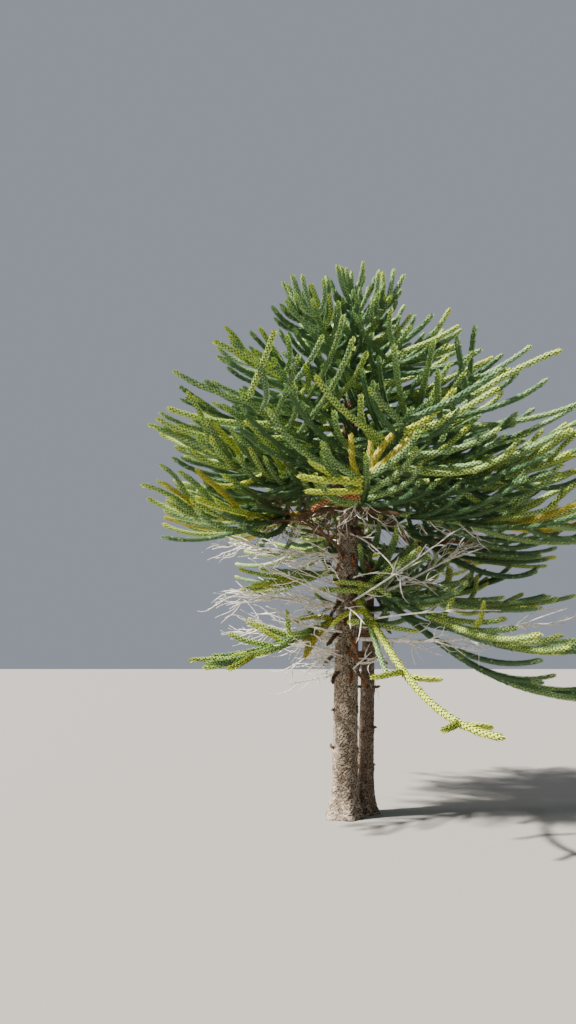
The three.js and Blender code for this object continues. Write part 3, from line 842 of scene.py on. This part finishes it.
def plain(name, colour, roughness, bump=0.0, scale=60.0, specular=0.3):
    """A material of one base colour, whose roughness and bump come from noise."""
    material = bpy.data.materials.new(name)
    material.use_nodes = True
    nodes, links = material.node_tree.nodes, material.node_tree.links
    shader = nodes["Principled BSDF"]
    shader.inputs["Base Color"].default_value = (*colour, 1)
    shader.inputs["Specular IOR Level"].default_value = specular
    noise = nodes.new("ShaderNodeTexNoise")
    noise.inputs["Scale"].default_value = scale
    noise.inputs["Detail"].default_value = 3
    place = nodes.new("ShaderNodeTexCoord")
    links.new(place.outputs["Object"], noise.inputs["Vector"])
    spread = nodes.new("ShaderNodeMapRange")
    spread.inputs["To Min"].default_value = roughness - 0.1
    spread.inputs["To Max"].default_value = roughness + 0.1
    links.new(noise.outputs["Fac"], spread.inputs["Value"])
    links.new(spread.outputs["Result"], shader.inputs["Roughness"])
    if bump:
        relief = nodes.new("ShaderNodeBump")
        relief.inputs["Strength"].default_value = bump
        relief.inputs["Distance"].default_value = 0.003
        links.new(noise.outputs["Fac"], relief.inputs["Height"])
        links.new(relief.outputs["Normal"], shader.inputs["Normal"])
    return material


def mottled(name, dark, light, roughness, scale, bump=0.5):
    """A material whose colour wanders between two tones."""
    material = plain(name, light, roughness, bump, scale, 0.2)
    nodes, links = material.node_tree.nodes, material.node_tree.links
    noise = next(n for n in nodes if n.type == "TEX_NOISE")
    ramp = nodes.new("ShaderNodeValToRGB")
    ramp.color_ramp.elements[0].position = 0.36
    ramp.color_ramp.elements[0].color = (*dark, 1)
    ramp.color_ramp.elements[1].position = 0.66
    ramp.color_ramp.elements[1].color = (*light, 1)
    links.new(noise.outputs["Fac"], ramp.inputs["Fac"])
    links.new(ramp.outputs["Color"], nodes["Principled BSDF"].inputs["Base Color"])
    return material


leaf_materials = [
    plain(f"leaf_{name}", colour, roughness=0.55, bump=0.15, scale=90, specular=0.15)
    for name, colour in {**TINTS, **SHADED_FOOT}.items()
]
bark_materials = [
    mottled("bark_pale", (0.25, 0.205, 0.155), (0.39, 0.325, 0.25), 0.88, 70),
    mottled("bark_face", (0.17, 0.135, 0.10), (0.29, 0.235, 0.18), 0.9, 80),
    mottled("bark_brown", (0.10, 0.073, 0.052), (0.19, 0.142, 0.102), 0.92, 80),
    # the darkest tone: the grooves' own dark joints deepened into painted shade, also used as painted shade
    # on the trunk inside the crown
    mottled("bark_groove_shade", (0.020, 0.015, 0.010), (0.055, 0.040, 0.028), 0.95, 90),
]
shaded_stem_bark = [bark_materials[k] for k in (1, 2, 2, 3)]  # with no pale scales: painted shade for the second stem, which stands in the crown's shade
wood_materials = [
    # bark of boughs: its own brown, made darker as painted shade under the crown
    mottled("bough_bark", (0.05, 0.032, 0.02), (0.14, 0.09, 0.055), 0.9, 60),
    mottled("leafy_core", (0.06, 0.10, 0.04), (0.11, 0.17, 0.065), 0.9, 60),
]
dead_materials = [
    mottled("dead_wood_pale", (0.50, 0.46, 0.40), (0.85, 0.81, 0.75), 0.85, 50),
    mottled("dead_wood_brown", (0.06, 0.035, 0.022), (0.16, 0.09, 0.05), 0.9, 50),
]


# Trunk and second stem

def scales_at(angle, z, columns, pitch, rows, generator):
    """For places on a stem: distances to the nearest scale of bark and to the next, and its tone."""
    shift = generator.uniform(-0.38, 0.38, (rows, columns, 2))
    tones = generator.random((rows, columns))
    across, along = np.broadcast_arrays(angle * columns / (2 * math.pi), z / pitch)
    nearest, second = np.full(across.shape, 9.0), np.full(across.shape, 9.0)
    tone = np.zeros(across.shape)
    for rise in (-1, 0, 1):
        row = np.floor(along).astype(int) + rise
        offset = 0.5 * (row % 2)
        for step in (-1, 0, 1):
            column = np.floor(across - offset).astype(int) + step
            moved = shift[row % rows, column % columns]
            distance_across = across - column - 0.5 - offset - moved[..., 0]
            distance = np.hypot(distance_across, along - row - 0.5 - moved[..., 1])
            closer = distance < nearest
            second = np.where(closer, nearest, np.minimum(second, distance))
            tone = np.where(closer, tones[row % rows, column % columns], tone)
            nearest = np.where(closer, distance, nearest)
    return nearest, second, tone


def waves(angle, z, generator, count, rounds, rates, less):
    """A sum of waves over a stem, each drawn by how often it goes round and how fast it goes up."""
    total = np.zeros((len(z), angle.size))
    for _ in range(count):
        often, rate = generator.integers(*rounds), generator.uniform(*rates)
        total += np.sin(often * angle + rate * z + generator.uniform(0, 6.3)) / less
    return total


def bark(stem, name, around, levels, scars, collars, materials, seed):
    """A stem whose surface is raised into small scales, with a collar at each whorl, old or live."""
    generator = np.random.default_rng(seed)
    z = stem["height"] * np.linspace(0, 1, levels)[:, None]
    angle = (np.arange(around) * 2 * math.pi / around)[None]
    wander = waves(angle, z, generator, 26, (0, 6), (0.002, 0.03), 5)
    fine = waves(angle, z, generator, 30, (5, 26), (-0.2, 0.2), 6)
    rows = int(stem["height"] / scars["pitch"]) + 4
    warped, shifted = angle + 0.05 * wander, z + 9 * wander + 4 * fine
    nearest, second, tone = scales_at(warped, shifted, scars["columns"], scars["pitch"], rows, generator)
    gap = second - nearest
    height = np.clip(gap / 0.3, 0, 1) ** 0.7 + 0.5 * (tone - 0.5) + 0.14 * fine
    flare = stem["flare"] * np.exp(-z / stem["flare_height"]) * (1 + 0.3 * np.cos(stem["lobes"] * angle))
    collar = sum(np.exp(-(((z - at) / COLLAR["half"]) ** 2)) for at in collars)
    collar = collar * (COLLAR["height"] + COLLAR["vary"] * np.cos(5 * angle + z / 90))
    radius = stem_radius(stem, z) + flare + collar + scars["relief"] * (height - 0.9)
    centre = stem_centre(stem, z[:, 0])
    out = np.stack([np.cos(angle), np.sin(angle), np.zeros_like(angle)], axis=-1)
    vertices = (centre[:, None] + out * radius[..., None]).reshape(-1, 3)
    shade = tone + 0.2 * wander + 0.12 * fine
    # painted shade: the grooves, and all the trunk inside the crown, take the darkest bark
    dark = (gap < SHADES["groove"]) | (z > SHADED_AND_DRY_FROM)
    slots = np.select([dark, shade > SHADES["pale"], shade > SHADES["brown"]], [3, 0, 1], 2)
    slots = slots[:-1].ravel().repeat(2)
    mesh = Mesh()
    vertices = np.vstack([vertices, centre[:1], centre[-1:]])
    mesh.add(vertices, ring_faces(levels, around), np.concatenate([slots, np.ones(2 * around)]))
    return mesh.made(name, materials, smooth=True)


COLLAR = {"half": 30, "height": 6, "vary": 4}
SHADES = {"groove": 0.11, "pale": 0.74, "brown": 0.2}  # how wide the grooves are, painted dark as their own dark joints deepened by painted shade, and which scales are pale
OLD_WHORLS = [620, 1010, 1370, 1560, 1740, 1900, 2060, 2300, 2540, 2800]
OLD_WHORLS_OF_SECOND = [420, 800, 1200, 1560, 1880, 2180]
YOUNG_FROM = 4180  # height from which the trunk is still green
SHADED_AND_DRY_FROM = 3230  # and from which its bark is painted dark as the crown's shade, with old dry leaves on it
BARK = {
    "trunk": {
        "around": 96, "levels": 560, "scars": {"columns": 24, "pitch": 25, "relief": 8},
        "collars": OLD_WHORLS + [whorl["height"] for whorl in WHORLS], "materials": bark_materials, "seed": 3,
    },
    "second_stem": {
        "around": 64, "levels": 300, "scars": {"columns": 17, "pitch": 24, "relief": 7},
        "collars": OLD_WHORLS_OF_SECOND, "materials": shaded_stem_bark, "seed": 5,
    },
}
for node, stem in (("trunk", TRUNK), ("second_stem", SECOND_STEM)):
    piece = bark(stem, f"{node}_bark", **BARK[node])
    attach(piece, "root")
    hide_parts(node)


# Boughs and their ropes

SIZES = {"hanger": 1.25, "whorl": 1.12, "rope": (0.94, 1.1)}  # of the leaves on boughs and ropes
SUNK = {"bark": 5, "leaf": 8}  # how far bark and the feet of dry leaves lie inside a bough's radius


def dress(bough, leafy, woody):
    """Adds a bough and its ropes: bark with dry leaves up to its first live ones, which clad the rest."""
    stem = STEMS[bough["stem"]]
    inside = 0.6 * float(stem_radius(stem, bough["height"])) / bough["reach"]
    bare = max(bough["bare_share"], inside / 0.6 + NECK_SHARE * 0.4)
    live = bare + 0.02
    wood = WOOD if "wood" in bough else LEAFY_WOOD

    def bark_radius(t):
        return between(wood, (t - inside) / (live - inside))

    t = share_steps(bough, inside, live, 12)
    tube(woody, bough, t, bark_radius(t) - SUNK["bark"], 12, 0, 0.09, sum(bough["keys"]))
    t = share_steps(bough, bare, 1, 90)
    tube(woody, bough, t, between(BOUGH_CORE, (t - bare) / (1 - bare)), 6, 1)
    seed = 1000 * bough["keys"][0] + 10 * bough["keys"][1]
    feet = {"last": live, "core": lambda t: bark_radius(t) - SUNK["leaf"]}
    leaves(leafy, bough, inside, "dry", 0.72, seed + 7, **feet, pressed=0.5, step=DRY_STEP)
    tint = bough.get("tint") or tint_of(bough, *bough["keys"])
    size = SIZES["hanger" if bough["name"].startswith("hanger") else "whorl"]
    leaves(leafy, bough, bare, tint, size, seed)
    ropes(bough, leafy, woody, seed)


def ropes(shoot, leafy, woody, seed):
    for n, rope in enumerate(shoot["ropes"]):
        size = draw(*SIZES["rope"], *rope["keys"], 31)
        tint = rope.get("tint") or tint_of(shoot, *rope["keys"], along=rope.get("along", 1))
        t = share_steps(rope, 0, 1, 110)
        tube(woody, rope, t, between(CORE, t), 4, 1)
        leaves(leafy, rope, 0.02, tint, size, seed + n + 1)


def end_with(leader, leafy, woody, seed):
    """Adds the upright shoot that ends a stem, with the ropes round it."""
    leaves(leafy, leader, 0, "middle", 1.0, seed)
    t = share_steps(leader, 0, 1, 70)
    tube(woody, leader, t, between(LEADER_CORE, t), 6, 1)
    ropes(leader, leafy, woody, seed + 100)


def along_stem(stem, low, high):
    """A shoot that runs up a stem between two heights."""
    points = stem_centre(stem, np.linspace(low, high, 12))
    return {"points": points, "length": high - low, "turn": (0, 0, 0), "rise": (90, 90, 90)}


def clad(stem, low, high, leafy, tint, seed):
    """Clads a length of stem in leaves: live ones on its young top, and old dry ones below that."""
    shoot = along_stem(stem, low, high)

    def foot(t):
        return stem_radius(stem, low + t * shoot["length"]) * 0.94

    leaves(leafy, shoot, 0, tint, 1.1, seed, 1.0, foot, 0.8, 2.0)


def finished(leafy, woody, name, foliage, wood=()):
    """Makes the leaves of some boughs one piece, and their wood another."""
    piece = leafy.made(f"{name}_leaves", leaf_materials)
    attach(piece, "root")
    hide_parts(*foliage)
    piece = woody.made(f"{name}_shoots", wood_materials, smooth=True)
    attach(piece, "root")
    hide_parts(*(wood or foliage))


for whorl in WHORLS:
    members = [bough for bough in boughs if bough["tier"] == whorl["name"]]
    halves = [members[:3], members[3:]] if len(members) > 4 else [members]
    for part, half in zip(("front", "back"), halves):
        leafy, woody = Mesh(), Mesh()
        for bough in half:
            dress(bough, leafy, woody)
        names = [f"{bough['name']}_foliage" for bough in half]
        wood = [f"{bough['name']}_bough" for bough in half] if "wood" in whorl else []
        if whorl["name"] == "crest":
            end_with(leaders[0], leafy, woody, 9001)
            clad(TRUNK, YOUNG_FROM, TRUNK["height"], leafy, "deep", 9301)
            clad(TRUNK, SHADED_AND_DRY_FROM, YOUNG_FROM, leafy, "dry", 9351)
            names.append("leader_foliage")
        label = f"{whorl['name']}_{part}" if len(halves) > 1 else whorl["name"]
        finished(leafy, woody, label, names, wood)

# Stubs of broken boughs at the old whorls, by stem: how many at each, and the turn from one to the next
STUBS = [(TRUNK, OLD_WHORLS, 5, 37), (SECOND_STEM, OLD_WHORLS_OF_SECOND, 4, 50)]
HANGING_FROM = 1200  # height from which dead ropes hang from the stubs
HANGING_ODDS, RUST_ODDS = 0.8, 0.65
STUB = {"root": 17, "end": 11}  # radii of a stub, of its leaves' feet and of a rope that hangs from it
STUB_FEET = {"root": 14, "end": 10}
HANGING = {"root": 7, "end": 5}


def add_stub(leafy, woody, stem, height, turn, keys, seed):
    """A short dry stub with dry leaves on it, and on most a dead rope that hangs from it."""
    root = stem_centre(stem, height + draw(-25, 25, *keys, 2))
    foot = 0.8 * float(stem_radius(stem, height))
    stub = grow(root, foot + draw(20, 70, *keys, 3), (turn,) * 3, (draw(0, 30, *keys, 4), 10, 5))
    first = foot / stub["length"]
    t = share_steps(stub, first, 1, 12)
    tube(woody, stub, t, between(STUB, t), 9, 0, 0.12, keys[-1])
    leaves(leafy, stub, first, "dry", 0.62, seed, 1.0, lambda t: between(STUB_FEET, t), 0.6, DRY_STEP)
    if height <= HANGING_FROM or draw(0, 1, *keys, 5) >= HANGING_ODDS:
        return
    fall, aside = draw(-75, -20, *keys, 6), keys[-1] % 3 - 1
    bends = (turn, turn + 24 * aside, turn + 36 * aside)
    rope = grow(stub["points"][-2], draw(80, 190, *keys, 7), bends, (fall * 0.6, fall, fall))
    t = share_steps(rope, 0, 1, 60)
    tube(woody, rope, t, between(HANGING, t), 4, 0)
    leaves(leafy, rope, 0, "rust" if draw(0, 1, *keys, 8) < RUST_ODDS else "dry", 0.8, seed + 50)


leafy, woody = Mesh(), Mesh()
n = 0
for stem, heights, count, step in STUBS:
    for m, height in enumerate(heights):
        for i in range(count):
            keys = (60 + n, i)
            turn = step * m + 360 / count * i + draw(-20, 20, *keys, 1)
            add_stub(leafy, woody, stem, height, turn, keys, n + i)
        n += 1
hangers = [bough for bough in boughs if bough["tier"].startswith("hanger")]
for bough in hangers:
    dress(bough, leafy, woody)
finished(leafy, woody, "hanger", [f"{bough['name']}_foliage" for bough in hangers])

leafy, woody = Mesh(), Mesh()
for bough in boughs:
    if bough["stem"] == "second":
        dress(bough, leafy, woody)
end_with(leaders[1], leafy, woody, 9501)
second_crown = ["stem_right_foliage", "stem_back_foliage", "stem_leader_foliage"]
finished(leafy, woody, "second_crown", second_crown)


# Dead limbs

# Bare twigs on each dead limb, round the trunk, under each low bough, and the long ones before the
# trunk: how many, their radii, and how many finer ones each has, of what length
TWIG_SORTS = {
    "limb": {"count": 16, "root": 8, "end": 3, "forks": 3, "fork": 260},
    "loose": {"count": 66, "root": 9, "end": 3.5, "forks": 3, "fork": 320},
    "bough": {"count": 9, "root": 5.5, "end": 2.5, "forks": 3, "fork": 200},
    "whip": {"root": 13, "end": 4, "forks": 5, "fork": 260},
}
TWIG_LENGTHS = {"limb": 420, "bough": 360}
FINEST = 1.6  # radius at the tips of the finest twigs
DEAD_TWIG = {"root": DEAD["twig_root"], "end": DEAD["twig_end"]}
WHIPS = [
    {"height": 2060, "turn": (-80, -30, -8), "rise": (6, 34, 36), "length": 1500},
    {"height": 2790, "turn": (-86, -40, -20), "rise": (-4, -40, -60), "length": 1050},
    {"height": 1830, "turn": (-80, -24, -6), "rise": (8, 6, -2), "length": 1750},
    {"height": 2080, "turn": (250, 200, 186), "rise": (6, 18, 28), "length": 1300},
    {"height": 1790, "turn": (244, 200, 176), "rise": (-4, 12, 22), "length": 1000},
]


def side_shoot(limb, share, side, length, keys, fall):
    turn, rise = bend(limb["turn"], share), bend(limb["rise"], share)
    opened = side * draw(18, 62, *keys, 1)
    return {"keys": keys, **grow(
        point_at(limb, share)[0], length * draw(0.6, 1.2, *keys, 2),
        (turn + opened, turn + opened * draw(0.5, 1.2, *keys, 3), turn + opened * draw(-0.6, 1.2, *keys, 4)),
        (rise + draw(*fall, *keys, 5), rise + draw(*fall, *keys, 6), rise * 0.4 + draw(*fall, *keys, 7)),
    )}


def dead_twig(mesh, twig, sort, tone):
    """A bare twig with finer ones on it."""
    t = share_steps(twig, 0, 1, 36)
    tube(mesh, twig, t, between(sort, t), 5, tone)
    for j in range(sort["forks"]):
        keys = (*twig["keys"], j)
        share, side = draw(0.25, 0.95, *keys, 8), 1 if j % 2 else -1
        finer = side_shoot(twig, share, side, sort["fork"], keys, (-46, 40))
        t = share_steps(finer, 0, 1, 45)
        tube(mesh, finer, t, between({"root": 0.62 * sort["root"], "end": FINEST}, t), 4, tone)


dead = Mesh()
for n, limb in enumerate(dead_limbs):
    tone = 1 if n == 0 else 0  # the first is brown
    t = share_steps(limb, 0.02, 1, 22)
    tube(dead, limb, t, between(DEAD, t), 10, tone, 0.1, n)
    for m, twig in enumerate(limb["twigs"]):
        t = share_steps(twig, 0, 1, 30)
        tube(dead, twig, t, between(DEAD_TWIG, t), 7, tone, 0.08, m)
    count = TWIG_SORTS["limb"]["count"]
    for k in range(count):
        keys = (*limb["keys"], 40 + k)
        share = 0.16 + 0.8 * (k + draw(0, 1, *keys, 9)) / count
        twig = side_shoot(limb, share, 1 if k % 2 else -1, TWIG_LENGTHS["limb"], keys, (-38, 34))
        dead_twig(dead, twig, TWIG_SORTS["limb"], tone)
# Long bare twigs round the trunk below the crown, most of them on its left
for n in range(TWIG_SORTS["loose"]["count"]):
    keys = (len(WHORLS) + 3, n)
    turn = draw(120, 250, *keys, 1) if n % 3 else draw(0, 360, *keys, 1)
    root = stem_centre(TRUNK, draw(1350, 2200 if n % 2 else 2980, *keys, 2))
    bends = (turn, turn + draw(-30, 30, *keys, 3), turn + draw(-90, 90, *keys, 4))
    rises = (draw(-15, 35, *keys, 5), draw(-30, 30, *keys, 6), draw(-60, 40, *keys, 7))
    twig = {**grow(root, draw(420, 1050, *keys, 8), bends, rises), "keys": keys}
    dead_twig(dead, twig, TWIG_SORTS["loose"], 0)
# And under the lowest boughs
for bough in boughs:
    if "wood" not in bough:
        continue
    for k in range(TWIG_SORTS["bough"]["count"]):
        keys = (*bough["keys"], 70 + k)
        twig = side_shoot(bough, 0.08 + 0.055 * k, 1 if k % 2 else -1, TWIG_LENGTHS["bough"], keys, (-60, 4))
        dead_twig(dead, twig, TWIG_SORTS["bough"], 0 if k % 3 else 1)
for n, whip in enumerate(WHIPS):
    keys = (len(WHORLS) + 3, 100 + n)
    course = grow(stem_centre(TRUNK, whip["height"]), whip["length"], whip["turn"], whip["rise"])
    dead_twig(dead, {**course, "keys": keys}, TWIG_SORTS["whip"], 0)
piece = dead.made("dead_limbs", dead_materials, smooth=True)
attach(piece, "root")
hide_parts(*[limb["name"] for limb in dead_limbs])


# Floor, light and camera

def flat_colour(name, colour, roughness):
    material = bpy.data.materials.new(name)
    material.use_nodes = True
    shader = material.node_tree.nodes["Principled BSDF"]
    shader.inputs["Base Color"].default_value = (*colour, 1)
    shader.inputs["Roughness"].default_value = roughness
    return material


bpy.ops.mesh.primitive_plane_add(size=120, location=(0, 0, 0))
floor = bpy.context.object
floor.name = "floor"
floor.data.materials.append(flat_colour("floor", (0.25, 0.238, 0.222), 0.9))

world = bpy.data.worlds.new("sky")
bpy.context.scene.world = world
world.use_nodes = True
world.node_tree.nodes["Background"].inputs["Color"].default_value = (0.80, 0.88, 1.0, 1)
world.node_tree.nodes["Background"].inputs["Strength"].default_value = 0.36


def light(name, kind, energy, colour, rotation, angle):
    data = bpy.data.lights.new(name, kind)
    data.energy = energy
    data.color = colour
    data.angle = math.radians(angle)
    lamp = bpy.data.objects.new(name, data)
    lamp.rotation_euler = [math.radians(a) for a in rotation]
    bpy.context.scene.collection.objects.link(lamp)


light("sun", "SUN", 18.0, (1.0, 0.95, 0.87), (44, 0, -72), 3)
light("low_fill", "SUN", 1.2, (1.0, 0.93, 0.84), (74, 0, -84), 12)

camera = bpy.data.objects.new("camera", bpy.data.cameras.new("camera"))
camera.data.lens = 27.04
camera.data.clip_end = 300
camera.location = (-0.545, -7.9, 1.6)
camera.rotation_euler = (math.radians(100.2), 0, 0)
bpy.context.scene.collection.objects.link(camera)
bpy.context.scene.camera = camera
